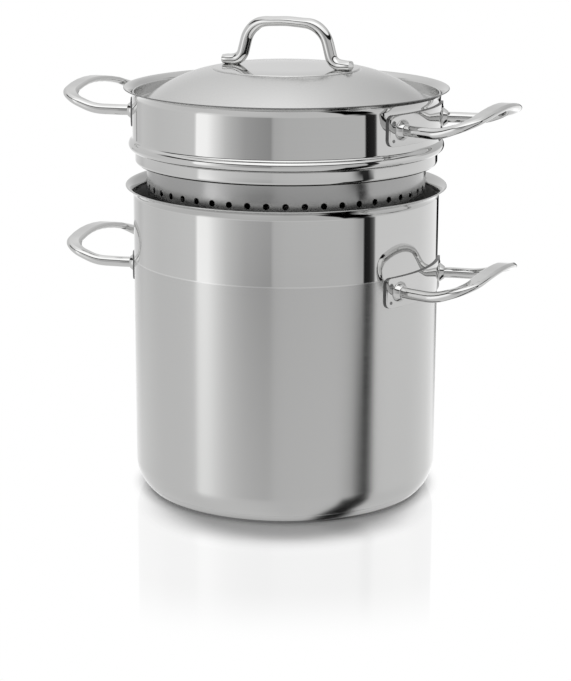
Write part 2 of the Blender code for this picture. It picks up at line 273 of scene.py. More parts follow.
def end_cap(start, end, thickness, steps=6):
    """A half circle that rounds the edge of a sheet, from start to end, bulging past them."""
    a = Vector(start)
    b = Vector(end)
    middle = (a + b) / 2.0
    side = (a - b) / 2.0
    bulge = Vector((side.y, -side.x))
    points = []
    for i in range(steps + 1):
        angle = PI * i / steps
        point = middle + side * math.cos(angle) + bulge * math.sin(angle)
        points.append((point.x, point.y))
    return points


def spin(bm, profile, closed, turn=Matrix.Identity(4), count=segments):
    """Spins a profile of radius and height about a matrix's Z axis. A point on the axis is one vertex."""
    rings = []
    for radius, height in profile:
        if radius < merge:
            rings.append([bm.verts.new(turn @ Vector((0.0, 0.0, height)))])
            continue
        ring = []
        for k in range(count):
            angle = 2.0 * PI * k / count
            point = Vector((radius * math.cos(angle), radius * math.sin(angle), height))
            ring.append(bm.verts.new(turn @ point))
        rings.append(ring)
    pairs = list(zip(rings, rings[1:]))
    if closed:
        pairs.append((rings[-1], rings[0]))
    for upper, lower in pairs:
        for k in range(count):
            n = (k + 1) % count
            corners = [ring[m % len(ring)] for ring, m in ((upper, k), (lower, k), (lower, n), (upper, n))]
            corners = list(dict.fromkeys(corners))
            if len(corners) > 2:
                bm.faces.new(corners)


def finish_mesh(name, bm, body, nodes, materials, sharp=None):
    """Turns a bmesh into a piece that rides on a body and stands for its CAD nodes."""
    bmesh.ops.recalc_face_normals(bm, faces=bm.faces)
    mesh = bpy.data.meshes.new(name)
    bm.to_mesh(mesh)
    bm.free()
    mesh.shade_smooth()
    if sharp:
        mesh.set_sharp_from_angle(angle=sharp)
    for material in materials:
        mesh.materials.append(material)
    piece = bpy.data.objects.new(name, mesh)
    bpy.context.scene.collection.objects.link(piece)
    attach(piece, body)
    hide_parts(*nodes)
    return piece


def math_node(tree, operation, first, other=None):
    """A Math node whose inputs are sockets or numbers. Gives its output socket."""
    made = tree.nodes.new("ShaderNodeMath")
    made.operation = operation
    for socket, value in zip(made.inputs, (first, other)):
        if isinstance(value, (int, float)):
            socket.default_value = value
        elif value is not None:
            tree.links.new(value, socket)
    return made.outputs[0]


def plus(tree, first, other):
    return math_node(tree, "ADD", first, other)


def minus(tree, first, other):
    return math_node(tree, "SUBTRACT", first, other)


def times(tree, first, other):
    return math_node(tree, "MULTIPLY", first, other)


def map_range(tree, value, low, high, to_low, to_high, smooth=False):
    """The value's span from low to high, spread from to_low to to_high and held there past its ends."""
    made = tree.nodes.new("ShaderNodeMapRange")
    if smooth:
        made.interpolation_type = "SMOOTHSTEP"
    tree.links.new(value, made.inputs["Value"])
    for name, number in (("From Min", low), ("From Max", high), ("To Min", to_low), ("To Max", to_high)):
        made.inputs[name].default_value = number
    return made.outputs["Result"]


def vector_value(tree, operation, value, fixed):
    """A number from a vector socket and a fixed vector: their distance or their dot product."""
    made = tree.nodes.new("ShaderNodeVectorMath")
    made.operation = operation
    tree.links.new(value, made.inputs[0])
    made.inputs[1].default_value = fixed
    return made.outputs["Value"]


def noise(tree, place, scale, detail, roughness):
    """A Noise texture's value at a place."""
    made = tree.nodes.new("ShaderNodeTexNoise")
    made.inputs["Scale"].default_value = scale
    made.inputs["Detail"].default_value = detail
    made.inputs["Roughness"].default_value = roughness
    tree.links.new(place, made.inputs["Vector"])
    return made.outputs["Fac"]


def spread(tree, value, middle, reach):
    """A noise spread about a middle level, by its reach to each side."""
    return map_range(tree, value, noise_low, noise_high, middle - reach, middle + reach)


# The metals' noise: the range that is used, its lines and its clouds, and how far the roughness follows them
noise_low = 0.3
noise_high = 0.7
line_scale = 1.0
line_detail = 4.0
line_noise_roughness = 0.6
line_share = 0.15
cloud_scale = 14.0
cloud_detail = 3.0
cloud_noise_roughness = 0.5
cloud_share = 0.06
quarter_turn = 0.25


def metal(name, colour, roughness, grain, grain_depth, streak, shift, slope=1.0, anisotropic=0.0,
          metallic=1.0, foot=None):
    """Steel with the fine lines that turning, brushing or buffing leaves, round the Z axis.

    The grain is how many lines lie in a metre across them, the streak how many changes in a metre along them,
    and the grain depth how deep they are. The shift is how much the tone varies. The slope says how the lines
    are spaced where the radius changes: 1 on walls and floors, -1 on domes. A foot is painted shade: the tone
    at the groove of the pot's base, from which the metal grows to its own tone at the cap's top.
    """
    made = bpy.data.materials.new(name)
    made.use_nodes = True
    tree = made.node_tree
    shader = tree.nodes["Principled BSDF"]
    shader.inputs["Metallic"].default_value = metallic
    shader.inputs["Anisotropic"].default_value = anisotropic
    place = tree.nodes.new("ShaderNodeTexCoord").outputs["Object"]
    split = tree.nodes.new("ShaderNodeSeparateXYZ")
    tree.links.new(place, split.inputs[0])
    x, y, z = split.outputs
    radius = math_node(tree, "SQRT", plus(tree, times(tree, x, x), times(tree, y, y)))
    across = plus(tree, z, times(tree, radius, slope))
    lines = tree.nodes.new("ShaderNodeCombineXYZ")
    for socket, value, count in zip(lines.inputs, (x, y, across), (streak, streak, grain)):
        tree.links.new(times(tree, value, count), socket)
    fine = noise(tree, lines.outputs[0], line_scale, line_detail, line_noise_roughness)
    cloud = noise(tree, place, cloud_scale, cloud_detail, cloud_noise_roughness)
    tone = plus(tree, spread(tree, fine, 0.0, shift), spread(tree, cloud, 1.0, shift / 2.0))
    # Painted shade: darker toward the groove, for the contact shadow that the base's foot mirrors
    if foot:
        tone = times(tree, tone, map_range(tree, z, groove_top, cap_top, foot, 1.0))
    paint = tree.nodes.new("ShaderNodeVectorMath")
    paint.operation = "SCALE"
    paint.inputs[0].default_value = colour
    tree.links.new(tone, paint.inputs["Scale"])
    tree.links.new(paint.outputs[0], shader.inputs["Base Color"])
    rough = plus(tree, spread(tree, fine, 0.0, line_share * roughness),
                 spread(tree, cloud, roughness, cloud_share * roughness))
    tree.links.new(rough, shader.inputs["Roughness"])
    bump = tree.nodes.new("ShaderNodeBump")
    bump.inputs["Strength"].default_value = 1.0
    bump.inputs["Distance"].default_value = grain_depth
    tree.links.new(fine, bump.inputs["Height"])
    tree.links.new(bump.outputs[0], shader.inputs["Normal"])
    if anisotropic:
        tangent = tree.nodes.new("ShaderNodeTangent")
        tangent.direction_type = "RADIAL"
        tangent.axis = "Z"
        tree.links.new(tangent.outputs[0], shader.inputs["Tangent"])
        shader.inputs["Anisotropic Rotation"].default_value = quarter_turn
    return made


def mirror(name, colour, roughness):
    """Steel polished to a mirror, with the faintest of buffing lines."""
    return metal(name, colour, roughness, grain=1800.0, grain_depth=0.0001 * MM, streak=7.0, shift=0.008)


# Colours of the steel where it is satin, mirror-polished, pale, in painted shade, cut (dark partly with
# painted shade) or welded, and of the core
wall_steel = (0.612, 0.612, 0.607)
steel = (0.64, 0.64, 0.635)
pale_steel = (0.74, 0.74, 0.735)
rim_steel = (0.55, 0.55, 0.545)
handle_steel = (0.66, 0.66, 0.655)
# Painted shade: the basket's steel is darkened for the shade it lies in inside the pot
basket_steel_in_painted_shade = (0.42, 0.42, 0.418)
# Dark steel for cut edges, and painted shade on the base's groove and under the collar's lip
cut_and_shaded_steel = (0.2, 0.2, 0.2)
weld_steel = (0.3, 0.3, 0.3)
aluminium = (0.78, 0.79, 0.80)

satin_wall = metal("satin_wall", wall_steel, roughness=0.2, grain=2600.0, grain_depth=0.0003 * MM, streak=9.0,
                   shift=0.012, anisotropic=0.7)
# Painted shade at the foot: this satin darkens toward the base's groove
satin_with_painted_foot_shade = metal("satin_with_painted_foot_shade", wall_steel, roughness=0.2, grain=2600.0, grain_depth=0.0003 * MM, streak=9.0,
                   shift=0.012, anisotropic=0.7, foot=painted_foot_shade)
line_wall = metal("line_wall", pale_steel, roughness=0.2, grain=2600.0, grain_depth=0.0006 * MM, streak=9.0,
                  shift=0.03)
satin_inside = metal("satin_inside", pale_steel, roughness=0.38, grain=2200.0, grain_depth=0.0008 * MM,
                     streak=6.0, shift=0.02, anisotropic=0.2, metallic=0.55)
# Painted shade: the basket's satin carries the darkened steel
satin_basket_in_painted_shade = metal("satin_basket_in_painted_shade", basket_steel_in_painted_shade, roughness=0.2, grain=2200.0, grain_depth=0.0005 * MM,
                     streak=8.0, shift=0.015, anisotropic=0.6)
satin_lid = metal("satin_lid", steel, roughness=0.2, grain=2200.0, grain_depth=0.0003 * MM, streak=8.0,
                  shift=0.012, slope=-1.0, anisotropic=0.6)
mirror_wall = mirror("mirror_wall", steel, 0.035)
mirror_collar = mirror("mirror_collar", steel, 0.035)
mirror_rim = mirror("mirror_rim", rim_steel, 0.06)
mirror_lid = mirror("mirror_lid", steel, 0.06)
polished = metal("polished_handle", handle_steel, roughness=0.045, grain=900.0, grain_depth=0.0002 * MM,
                 streak=60.0, shift=0.015)
# Cut edges, partly real and partly painted shade: the base's groove, the collar's lip edge and the plates'
# edges
cut_edge_and_shade = metal("cut_edge_and_shade", cut_and_shaded_steel, roughness=0.35, grain=1500.0, grain_depth=0.003 * MM, streak=60.0,
                 shift=0.05)
weld_mark = metal("weld_mark", weld_steel, roughness=0.2, grain=1500.0, grain_depth=0.002 * MM, streak=60.0,
                  shift=0.05)
cast_aluminium = metal("core_aluminium", aluminium, roughness=0.42, grain=1500.0, grain_depth=0.003 * MM,
                       streak=30.0, shift=0.04)


def corner_at(height):
    """Radius and angle of the pot's rounded corner at a height."""
    angle = -math.asin((corner_height - height) / corner_radius)
    return wall_radius - corner_radius + corner_radius * math.cos(angle), angle


def flare(height, angle, steps=12):
    """A rim that flares out from the wall, from its lip down to the wall."""
    return arc((wall_radius + rim_flare_radius, height), rim_flare_radius, PI - angle, PI, steps)


def cut_at(points, height):
    """The outline with one more point at a height on its way down."""
    for i, (upper, lower) in enumerate(zip(points, points[1:])):
        if upper[1] > height > lower[1]:
            share = (upper[1] - height) / (upper[1] - lower[1])
            between = (upper[0] + (lower[0] - upper[0]) * share, height)
            return points[:i + 1] + [between] + points[i + 1:]
    return points


def build_pot():
    """The pot's wall and floor: satin below a pale line, mirror above it, a duller rim, and satin inside."""
    flare_z = pot_height - (rim_flare_radius + pot_sheet) * math.sin(pot_flare_angle)
    bend_radius, bend_angle = corner_at(floor_under + floor_bend / 2.0)
    outline = flare(flare_z, pot_flare_angle)
    outline += arc((wall_radius - corner_radius, corner_height), corner_radius, 0.0, bend_angle, 14)
    floor_middle = (bend_radius - floor_bend, floor_under + floor_bend / 2.0)
    outline += arc(floor_middle, floor_bend / 2.0, 0.0, -PI / 2.0, 5)
    outline.append((0.0, floor_under))
    for height in (polish_line + polish_line_width, polish_line - polish_line_width):
        outline = cut_at(outline, height)
    looks = [satin_wall, mirror_wall, line_wall, satin_inside, mirror_rim]
    bm = bmesh.new()
    spin(bm, sheet_profile(outline, pot_sheet), True)
    bmesh.ops.recalc_face_normals(bm, faces=bm.faces)
    for face in bm.faces:
        middle = face.calc_center_median()
        reach = math.hypot(middle.x, middle.y)
        outside = face.normal.x * middle.x + face.normal.y * middle.y > 0.0 or middle.z > flare_z
        if not outside or reach < bend_radius - corner_radius:
            look = satin_inside
        elif middle.z > flare_z + rim_polish_rise:
            look = mirror_rim
        elif middle.z > polish_line + polish_line_width / 2.0:
            look = mirror_wall
        elif middle.z > polish_line - polish_line_width / 2.0:
            look = line_wall
        else:
            look = satin_wall
        face.material_index = looks.index(look)
    finish_mesh("pot_body", bm, "pot", ["pot_shell"], looks)


def build_base():
    """The steel cap pressed round the base, in painted shade toward and below its groove, and the CAD's own
    core in it.
    """
    centre = (wall_radius - corner_radius, corner_height)
    cover_radius = corner_radius + cap_cover
    edge_radius = corner_at(cap_edge_round)[0] + cap_cover
    outline = arc(centre, cover_radius, corner_at(cap_top)[1], corner_at(groove_top)[1], 8)
    for height in (groove_top, groove_bottom):
        outline.append((corner_at(height)[0] - groove_depth, height))
    outline += arc(centre, cover_radius, corner_at(groove_bottom)[1], corner_at(cap_edge_round)[1], 8)
    outline += arc((edge_radius - cap_edge_round, cap_edge_round), cap_edge_round, 0.0, -PI / 2.0, 5)
    outline.append((0.0, 0.0))
    bm = bmesh.new()
    spin(bm, sheet_profile(outline, cap_sheet), True)
    # Painted shade: the groove and all below it take the dark steel, for the shadow line where the pot meets
    # the floor
    for face in bm.faces:
        if face.calc_center_median().z < groove_top + groove_shade_rise:
            face.material_index = second_material
    finish_mesh("base_pan", bm, "pot", ["base_cap"], [satin_with_painted_foot_shade, cut_edge_and_shade], sharp_edge)
    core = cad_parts["base_core"]
    core.data.materials.clear()
    core.data.materials.append(cast_aluminium)


def build_collar():
    """The mirror collar: a flared lip with a cut edge darkened partly by painted shade, wall, creased bead,
    neck and ledge.
    """
    fillet_rise = math.sqrt((bead_radius + bead_fillet) ** 2 - (wall_radius + bead_fillet - bead_centre) ** 2)
    meet = math.atan2(fillet_rise, wall_radius + bead_fillet - bead_centre)
    outline = flare(collar_flare_z, collar_flare_angle)
    outline += arc((wall_radius + bead_fillet, bead_radius + fillet_rise), bead_fillet, PI, PI + meet, 8)
    foot = -math.acos((neck_radius + neck_fillet - bead_centre) / (bead_radius + neck_fillet))
    outline += arc((bead_centre, bead_radius), bead_radius, meet, foot, 20)
    foot_centre = (neck_radius + neck_fillet, bead_radius + (bead_radius + neck_fillet) * math.sin(foot))
    outline += arc(foot_centre, neck_fillet, PI + foot, PI, 4)
    outline += arc((neck_radius - step_round, step_round - step_depth), step_round, 0.0, -PI / 2.0, 8)
    outline.append((ledge_radius, -step_depth))
    bm = bmesh.new()
    profile = sheet_profile(outline, collar_sheet, rounded_end=True)
    spin(bm, profile, True, Matrix.Translation((0.0, 0.0, insert_z)))
    lip_reach = rim_flare_radius * (1.0 - math.cos(collar_flare_angle))
    lip = wall_radius + lip_reach + collar_sheet * lip_edge_share
    # Painted shade, partly: the lip's outer edge takes the dark steel, for the dark line under the lip
    for face in bm.faces:
        middle = face.calc_center_median()
        if math.hypot(middle.x, middle.y) > lip:
            face.material_index = second_material
    finish_mesh("collar", bm, "insert", ["insert_collar"], [mirror_collar, cut_edge_and_shade])


def hole_cell(bm, place, half_width, half_height):
    """A square of sheet with a round hole in it: sixteen faces between the square and the circle."""
    steps = [-1.0 + i / 2.0 for i in range(4)]
    border = [(step, -1.0) for step in steps]
    border += [(1.0, step) for step in steps]
    border += [(-step, 1.0) for step in steps]
    border += [(-1.0, -step) for step in steps]
    outer = []
    inner = []
    for i, (u, v) in enumerate(border):
        angle = 2.0 * PI * i / len(border) + first_corner
        outer.append(bm.verts.new(place(u * half_width, v * half_height)))
        inner.append(bm.verts.new(place(hole_radius * math.cos(angle), hole_radius * math.sin(angle))))
    for i in range(len(border)):
        n = (i + 1) % len(border)
        bm.faces.new((outer[i], outer[n], inner[n], inner[i]))


def build_basket_wall(bm, top):
    """Rows of punched holes round the wall. Gives the height under the last row."""
    half_width = PI * basket_radius / holes_round
    for row in range(row_count):
        for k in range(holes_round):
            middle = 2.0 * PI * (k + 0.5) / holes_round
            height = top - row * row_pitch

            def place(along, up):
                angle = middle + along / basket_radius
                return Vector((basket_radius * math.cos(angle), basket_radius * math.sin(angle), height + up))

            hole_cell(bm, place, half_width, row_pitch / 2.0)
    return top - (row_count - 0.5) * row_pitch


def build_basket_floor(bm, height, reach):
    """A flat disc with rings of holes: ring n holds six times n of them."""
    points = [Vector((reach * math.cos(2.0 * PI * k / segments), reach * math.sin(2.0 * PI * k / segments)))
              for k in range(segments)]
    edges = [(k, (k + 1) % segments) for k in range(segments)]
    centres = [Vector((0.0, 0.0))]
    for ring in range(1, ring_count + 1):
        for k in range(ring * holes_per_ring):
            angle = 2.0 * PI * k / (ring * holes_per_ring)
            centres.append(Vector((math.cos(angle), math.sin(angle))) * (ring * ring_pitch))
    for centre in centres:
        start = len(points)
        for k in range(hole_segments):
            angle = 2.0 * PI * k / hole_segments
            points.append(centre + Vector((math.cos(angle), math.sin(angle))) * hole_radius)
            edges.append((start + k, start + (k + 1) % hole_segments))
    verts, _, faces, _, _, _ = delaunay_2d_cdt(points, edges, [], 1, merge)
    made = [bm.verts.new((vert.x, vert.y, height)) for vert in verts]
    for face in faces:
        middle = sum((verts[i] for i in face), Vector((0.0, 0.0))) / len(face)
        if min((middle - centre).length for centre in centres) > hole_radius * inside_hole:
            bm.faces.new([made[i] for i in face])


def build_basket():
    """The strainer basket, punched all over: flange, wall, rounded corner and floor."""
    floor_z = insert_z + flange_z - basket_depth
    top = insert_z + flange_z
    bm = bmesh.new()
    first_hole = top - first_row_drop
    bend = arc((basket_radius + flange_bend, top - flange_bend), flange_bend, PI / 2.0, PI, 5)
    spin(bm, [(flange_radius, top)] + bend + [(basket_radius, first_hole + row_pitch / 2.0)], False)
    last = build_basket_wall(bm, first_hole)
    corner = arc((basket_radius - basket_corner, floor_z + basket_corner), basket_corner, 0.0, -PI / 2.0, 12)
    spin(bm, [(basket_radius, last)] + corner, False)
    build_basket_floor(bm, floor_z, basket_radius - basket_corner)
    bmesh.ops.remove_doubles(bm, verts=bm.verts, dist=merge)
    piece = finish_mesh("basket", bm, "insert", ["strainer_basket"], [satin_basket_in_painted_shade])
    sheet = piece.modifiers.new("sheet", "SOLIDIFY")
    sheet.thickness = basket_sheet
    sheet.offset = -1.0
    sheet.use_even_offset = True
    edges = piece.modifiers.new("edges", "EDGE_SPLIT")
    edges.split_angle = sharp_basket_edge


def build_lid():
    """The lid: a polished flat disc, a turned dome, and a gutter with a beaded edge on the collar's lip."""
    gutter_radius = lid_edge_radius - gutter_width
    start = lid_disc_radius + lid_disc_step
    top = lid_disc_height - lid_disc_step
    end = gutter_radius - gutter_floor
    foot = dome_foot_rise - gutter_depth
    end_angle = 2.0 * math.atan((top - foot) / (end - start)) - dome_start_angle
    radius = (end - start) / (math.sin(end_angle) - math.sin(dome_start_angle))
    centre = (start - radius * math.sin(dome_start_angle), top - radius * math.cos(dome_start_angle))
    outline = [(0.0, lid_disc_height), (lid_disc_radius * 0.5, lid_disc_height)]
    outline += arc((lid_disc_radius - lid_disc_step, top), lid_disc_step, PI / 2.0, disc_step_end, 4)
    outline.append((start - disc_groove, top - disc_groove))
    outline += arc(centre, radius, PI / 2.0 - dome_start_angle, PI / 2.0 - end_angle, 24)
    wall = lid_edge_radius - lid_wall_inset
    outline += arc((wall - gutter_round, gutter_round - gutter_depth), gutter_round, -PI / 2.0, 0.0, 6)
    outline += arc((lid_edge_radius - lid_edge_bead, lid_sheet - lid_edge_bead), lid_edge_bead, PI, 0.0, 8)
    bm = bmesh.new()
    profile = sheet_profile(list(reversed(outline)), -lid_sheet)
    spin(bm, profile, True, Matrix.Translation((0.0, 0.0, insert_z + lid_z)))
    for face in bm.faces:
        middle = face.calc_center_median()
        if math.hypot(middle.x, middle.y) < lid_disc_radius:
            face.material_index = second_material
    finish_mesh("lid_dome", bm, "lid", ["lid_shell"], [satin_lid, mirror_lid])


def bend_reaches(corners, bends):
    """How far each bend reaches along its straights, drawn in where two bends would meet."""
    reaches = [0.0]
    for before, corner, after, bend in zip(corners, corners[1:], corners[2:], bends):
        reaches.append(bend * math.tan((corner - before).angle(after - corner) / 2.0))
    reaches.append(0.0)
    room = []
    for i, (start, end) in enumerate(zip(corners, corners[1:])):
        room.append(min(1.0, (end - start).length / (reaches[i] + reaches[i + 1])))
    room = [1.0] + room + [1.0]
    return [reach * min(room[i], room[i + 1]) for i, reach in enumerate(reaches)]


def rounded_path(corners, bends):
    """A path through corner points, each turned with its own bend radius, in short steps."""
    reaches = bend_reaches(corners, bends)
    points = [corners[0]]
    for before, corner, after, reach in zip(corners, corners[1:], corners[2:], reaches[1:]):
        into = (corner - before).normalized()
        out = (after - corner).normalized()
        turn = into.angle(out)
        axis = into.cross(out).normalized()
        start = corner - into * reach
        middle = start + axis.cross(into) * (reach / math.tan(turn / 2.0))
        steps = max(least_bend_steps, math.ceil(turn / bend_step))
        for i in range(steps + 1):
            points.append(middle + Matrix.Rotation(turn * i / steps, 3, axis) @ (start - middle))
    points.append(corners[-1])
    filled = [points[0]]
    for end in points[1:]:
        start = filled[-1]
        run = (end - start).length
        if run < shortest_step:
            continue
        pieces = math.ceil(run / rod_step)
        for i in range(1, pieces + 1):
            filled.append(start.lerp(end, i / pieces))
    return filled


def smooth_step(value):
    """A smooth rise from 0 to 1."""
    value = min(max(value, 0.0), 1.0)
    return value * value * (3.0 - 2.0 * value)


def pressed_section(half_width, bulge, half_thickness):
    """A round bar pressed flat: an ellipse of half_width by bulge, cut off level at half_thickness."""
    cut = max(math.acos(min(1.0, half_thickness / bulge)), least_cut)
    half = [(half_width * math.sin(cut) * share, bulge * math.cos(cut)) for share in section_top]
    for share in section_side:
        angle = cut + (PI - 2.0 * cut) * share
        half.append((half_width * math.sin(angle), bulge * math.cos(angle)))
    return half + [(-across, -up) for across, up in half]


def loft(bm, path, section_at, place, width_axis=None, end_round=0.0):
    """A closed rod along a path. section_at gives half width, bulge and half thickness at a length."""
    lengths = [0.0]
    for start, end in zip(path, path[1:]):
        lengths.append(lengths[-1] + (end - start).length)
    total = lengths[-1]
    rings = []
    for i, point in enumerate(path):
        before = path[max(i - 1, 0)]
        after = path[min(i + 1, len(path) - 1)]
        along = (after - before).normalized()
        across = width_axis or Vector((0.0, 0.0, 1.0)).cross(along).normalized()
        normal = along.cross(across).normalized()
        near = min(lengths[i], total - lengths[i])
        shrink = 1.0
        if near < end_round:
            shrink = math.sqrt(max(1.0 - (1.0 - near / end_round) ** 2, least_end))
        ring = []
        for width, up in pressed_section(*section_at(near, total)):
            ring.append(bm.verts.new(place @ (point + (across * width + normal * up) * shrink)))
        rings.append(ring)
    for lower, upper in zip(rings, rings[1:]):
        for k in range(len(lower)):
            n = (k + 1) % len(lower)
            bm.faces.new((lower[k], lower[n], upper[n], upper[k]))
    bm.faces.new(reversed(rings[0]))
    bm.faces.new(rings[-1])


def side_rod_at(length, total):
    """A side handle's rod: round at its roots and pressed flat along the grip."""
    share = smooth_step((length - flatten_start) / (flatten_full - flatten_start))
    half_width = (rod_diameter + (grip_width - rod_diameter) * share) / 2.0
    half_thickness = (rod_diameter + (grip_thickness - rod_diameter) * share) / 2.0
    return half_width, half_thickness * (1.0 + grip_crown * share), half_thickness


def side_handle_path():
    """Centre line of the loop, on the +X side, with its roots square to the bosses."""
    tip = wall_radius + handle_reach
    start_radius = root_radius - root_sink
    root_end = root_radius + root_straight
    one_side = [
        Vector((start_radius * math.cos(root_angle), start_radius * math.sin(root_angle), 0.0)),
        Vector((root_end * math.cos(root_angle), root_end * math.sin(root_angle), 0.0)),
        Vector((wall_radius + leg_straight, leg_half, 0.0)),
        Vector((tip - grip_bow, leg_half, handle_rise - grip_bow_rise)),
    ]
    middle = Vector((tip, 0.0, handle_rise))
    other_side = [Vector((point.x, -point.y, point.z)) for point in reversed(one_side)]
    bends = [root_bend, rise_bend, grip_bend]
    return rounded_path(one_side + [middle] + other_side, bends + [bow_bend] + bends[::-1])


def plate_outline():
    """The flat plate's outline, with rounded corners, centred on the origin."""
    points = []
    for sign_x, sign_z, start in ((1, 1, 0.0), (-1, 1, PI / 2.0), (-1, -1, PI), (1, -1, 1.5 * PI)):
        middle = (sign_x * (plate_half_width - plate_corner), sign_z * (plate_half_height - plate_corner))
        points += arc(middle, plate_corner, start, start + PI / 2.0, 8)
    return points


def build_plate(name, body, node, place):
    """The handle plate, wrapped round the wall in narrow strips, with slightly rounded cut edges, dark partly
    with painted shade.
    """
    bm = bmesh.new()
    bm.faces.new([bm.verts.new((x, 0.0, z)) for x, z in plate_outline()])
    count = int(plate_half_width / plate_strip)
    for k in range(-count, count + 1):
        bmesh.ops.bisect_plane(bm, geom=bm.verts[:] + bm.edges[:] + bm.faces[:],
                               plane_co=(k * plate_strip, 0.0, 0.0), plane_no=(1.0, 0.0, 0.0))
    for vert in bm.verts:
        angle = vert.co.x / plate_face
        vert.co = Vector((plate_face * math.cos(angle), plate_face * math.sin(angle), vert.co.z))
    bmesh.ops.recalc_face_normals(bm, faces=bm.faces)
    if bm.faces[:][0].normal.x < 0.0:
        bmesh.ops.reverse_faces(bm, faces=bm.faces)
    bmesh.ops.solidify(bm, geom=bm.faces[:], thickness=plate_face - plate_back)
    bmesh.ops.transform(bm, matrix=place, verts=bm.verts)
    # Painted shade, partly: the plate's side faces take the dark steel, for the shade of the gap against the
    # wall
    for face in bm.faces:
        middle = face.calc_center_median()
        outward = Vector((middle.x, middle.y, 0.0)).normalized()
        if abs(face.normal.dot(outward)) < plate_edge_lean:
            face.material_index = second_material
    piece = finish_mesh(name, bm, body, [node], [polished, cut_edge_and_shade])
    soften = piece.modifiers.new("edges", "BEVEL")
    soften.width = plate_edge_round
    soften.segments = 3
    soften.limit_method = "ANGLE"
    soften.angle_limit = sharp_edge


def build_fittings(name, body, node, place):
    """Two bosses, filleted below and rounded above, and two spot welds at each end of the plate."""
    base = plate_face - boss_sink
    top = plate_face + boss_height
    profile = [(boss_base_radius + boss_foot_fillet, base)]
    profile += arc((boss_base_radius + boss_foot_fillet, plate_face + boss_foot_fillet), boss_foot_fillet,
                   -PI / 2.0, -PI, 5)
    profile += arc((boss_top_radius - boss_shoulder, top - boss_shoulder), boss_shoulder,
                   boss_shoulder_start, PI / 2.0, 5)
    profile.append((0.0, top))
    profile.append((0.0, base))
    bm = bmesh.new()
    for sign in (-1.0, 1.0):
        turn = place @ Matrix.Rotation(sign * root_angle, 4, "Z") @ Matrix.Rotation(PI / 2.0, 4, "Y")
        spin(bm, profile, True, turn, boss_segments)
    plain_faces = len(bm.faces)
    weld_angle = (plate_half_width - weld_end_inset) / plate_face
    for reach, level in ((large_weld, large_weld_height), (small_weld, small_weld_height)):
        weld = [(reach * share, plate_face + weld_rise * rise) for share, rise in weld_section]
        weld += [(reach, base), (0.0, base)]
        for sign in (-1.0, 1.0):
            turn = (place @ Matrix.Rotation(sign * weld_angle, 4, "Z") @ Matrix.Translation((0.0, 0.0, level))
                    @ Matrix.Rotation(PI / 2.0, 4, "Y"))
            spin(bm, weld, True, turn, weld_segments)
    for face in bm.faces[:][plain_faces:]:
        face.material_index = second_material
    finish_mesh(name, bm, body, [node], [polished, weld_mark], sharp_boss_edge)


def build_side_handles(owner, body, height):
    """One plate, its fittings and one rod on each side of the pot or of the insert."""
    for side, turn in (("right", 0.0), ("left", PI)):
        place = Matrix.Translation((0.0, 0.0, height)) @ Matrix.Rotation(turn, 4, "Z")
        plate = owner + "_handle_plate_" + side
        build_plate(owner + "_plate_" + side, body, plate, place)
        build_fittings(owner + "_bosses_" + side, body, plate, place)
        bm = bmesh.new()
        loft(bm, side_handle_path(), side_rod_at, place)
        rod = owner + "_handle_" + side
        finish_mesh(owner + "_rod_" + side, bm, body, [rod], [polished], sharp_edge)


def lid_rod_at(length, total):
    """The lid handle's rod: pressed on its feet and along the grip."""
    foot = 1.0 - smooth_step((length - lid_foot_length + lid_foot_bend) / lid_foot_bend)
    grip = smooth_step((length - total / 2.0 + lid_leg_top) / lid_shoulder_bend)
    half_width = (lid_rod_diameter + (lid_grip_width - lid_rod_diameter) * max(foot, grip)) / 2.0
    half_thickness = (lid_rod_diameter + (lid_grip_thickness - lid_rod_diameter) * grip
                      + (lid_foot_thickness - lid_rod_diameter) * foot) / 2.0
    return half_width, half_thickness * (1.0 + lid_grip_crown * max(foot, grip)), half_thickness


def build_lid_handle():
    """The bridge handle: two feet on the disc, legs that lean in, and a slightly arched bar."""
    foot_z = insert_z + lid_z + lid_disc_height + lid_foot_thickness / 2.0
    bar_z = insert_z + lid_z + lid_disc_height + lid_handle_rise
    one_side = [
        Vector((lid_foot_reach, 0.0, foot_z)),
        Vector((lid_leg_foot, 0.0, foot_z)),
        Vector((lid_leg_top, 0.0, bar_z - lid_handle_crown)),
    ]
    other_side = [Vector((-point.x, 0.0, point.z)) for point in reversed(one_side)]
    bends = [lid_foot_bend, lid_shoulder_bend]
    path = rounded_path(one_side + [Vector((0.0, 0.0, bar_z))] + other_side,
                        bends + [lid_crown_bend] + bends[::-1])
    bm = bmesh.new()
    loft(bm, path, lid_rod_at, Matrix.Identity(4), Vector((0.0, 1.0, 0.0)), lid_end_round)
    finish_mesh("lid_bridge", bm, "lid", ["lid_handle"], [polished], sharp_edge)


build_pot()
build_base()
build_collar()
build_basket()
build_lid()
build_lid_handle()
build_side_handles("pot", "pot", pot_handle_height)
build_side_handles("insert", "insert", insert_z + insert_handle_height)

# Camera: where the photograph was taken from
camera_place = Vector((0.7102, -1.4265, 0.5242))
camera_look = Vector((-0.4318, 0.8672, -0.2482))
camera_roll = math.radians(0.21)
lens = 108.46
toward_camera = Vector((0.4454, -0.8953, 0.0))
to_right = Vector((0.8953, 0.4454, 0.0))

camera_data = bpy.data.cameras.new("camera")
camera_data.lens = lens
camera_data.sensor_width = 36.0
camera = bpy.data.objects.new("camera", camera_data)
bpy.context.scene.collection.objects.link(camera)
camera.rotation_mode = "QUATERNION"
camera.location = camera_place
camera.rotation_quaternion = (
    Matrix.Rotation(-camera_roll, 3, camera_look) @ camera_look.to_track_quat("-Z", "Y").to_matrix()
).to_quaternion()
bpy.context.scene.camera = camera


